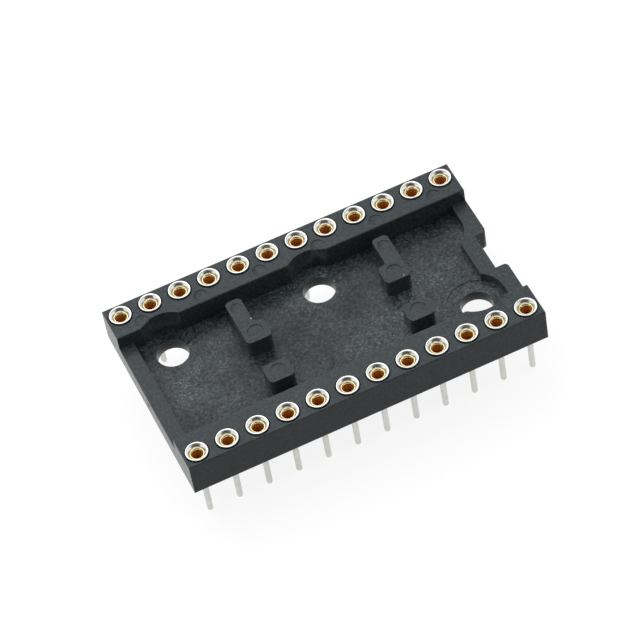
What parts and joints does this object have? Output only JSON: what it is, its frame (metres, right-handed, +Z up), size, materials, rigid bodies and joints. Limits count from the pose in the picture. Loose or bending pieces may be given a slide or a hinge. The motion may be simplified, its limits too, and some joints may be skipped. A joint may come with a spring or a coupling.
{
  "type": "dip socket",
  "caption": "Dual in-line socket: a dark moulded frame with floor, posts, screw holes and a key notch carries two rows of turned contacts with sprung mouths and solder tails.",
  "frame": {"origin": "centre of the contact pattern, on the board that the sleeves' shoulders stand on", "axes": "+X along the rows towards the key notch, +Y across the rows, +Z up out of the board"},
  "size_m": [0.0302, 0.0176, 0.0075],
  "materials": {
    "insulator": "matt moulded glass-filled polyester, near black",
    "sleeve": "bright tin plate on turned brass",
    "clip": "gold plate on rolled beryllium copper"
  },
  "bodies": {
    "root": {"insulator": "insulator", "contact_sleeve_01": "sleeve", "contact_sleeve_02": "sleeve", "contact_sleeve_03": "sleeve", "contact_sleeve_04": "sleeve", "contact_sleeve_05": "sleeve", "contact_sleeve_06": "sleeve", "contact_sleeve_07": "sleeve", "contact_sleeve_08": "sleeve", "contact_sleeve_09": "sleeve", "contact_sleeve_10": "sleeve", "contact_sleeve_11": "sleeve", "contact_sleeve_12": "sleeve", "contact_sleeve_13": "sleeve", "contact_sleeve_14": "sleeve", "contact_sleeve_15": "sleeve", "contact_sleeve_16": "sleeve", "contact_sleeve_17": "sleeve", "contact_sleeve_18": "sleeve", "contact_sleeve_19": "sleeve", "contact_sleeve_20": "sleeve", "contact_sleeve_21": "sleeve", "contact_sleeve_22": "sleeve", "contact_sleeve_23": "sleeve", "contact_sleeve_24": "sleeve", "contact_clip_01": "clip", "contact_clip_02": "clip", "contact_clip_03": "clip", "contact_clip_04": "clip", "contact_clip_05": "clip", "contact_clip_06": "clip", "contact_clip_07": "clip", "contact_clip_08": "clip", "contact_clip_09": "clip", "contact_clip_10": "clip", "contact_clip_11": "clip", "contact_clip_12": "clip", "contact_clip_13": "clip", "contact_clip_14": "clip", "contact_clip_15": "clip", "contact_clip_16": "clip", "contact_clip_17": "clip", "contact_clip_18": "clip", "contact_clip_19": "clip", "contact_clip_20": "clip", "contact_clip_21": "clip", "contact_clip_22": "clip", "contact_clip_23": "clip", "contact_clip_24": "clip"}
  },
  "joints": []
}
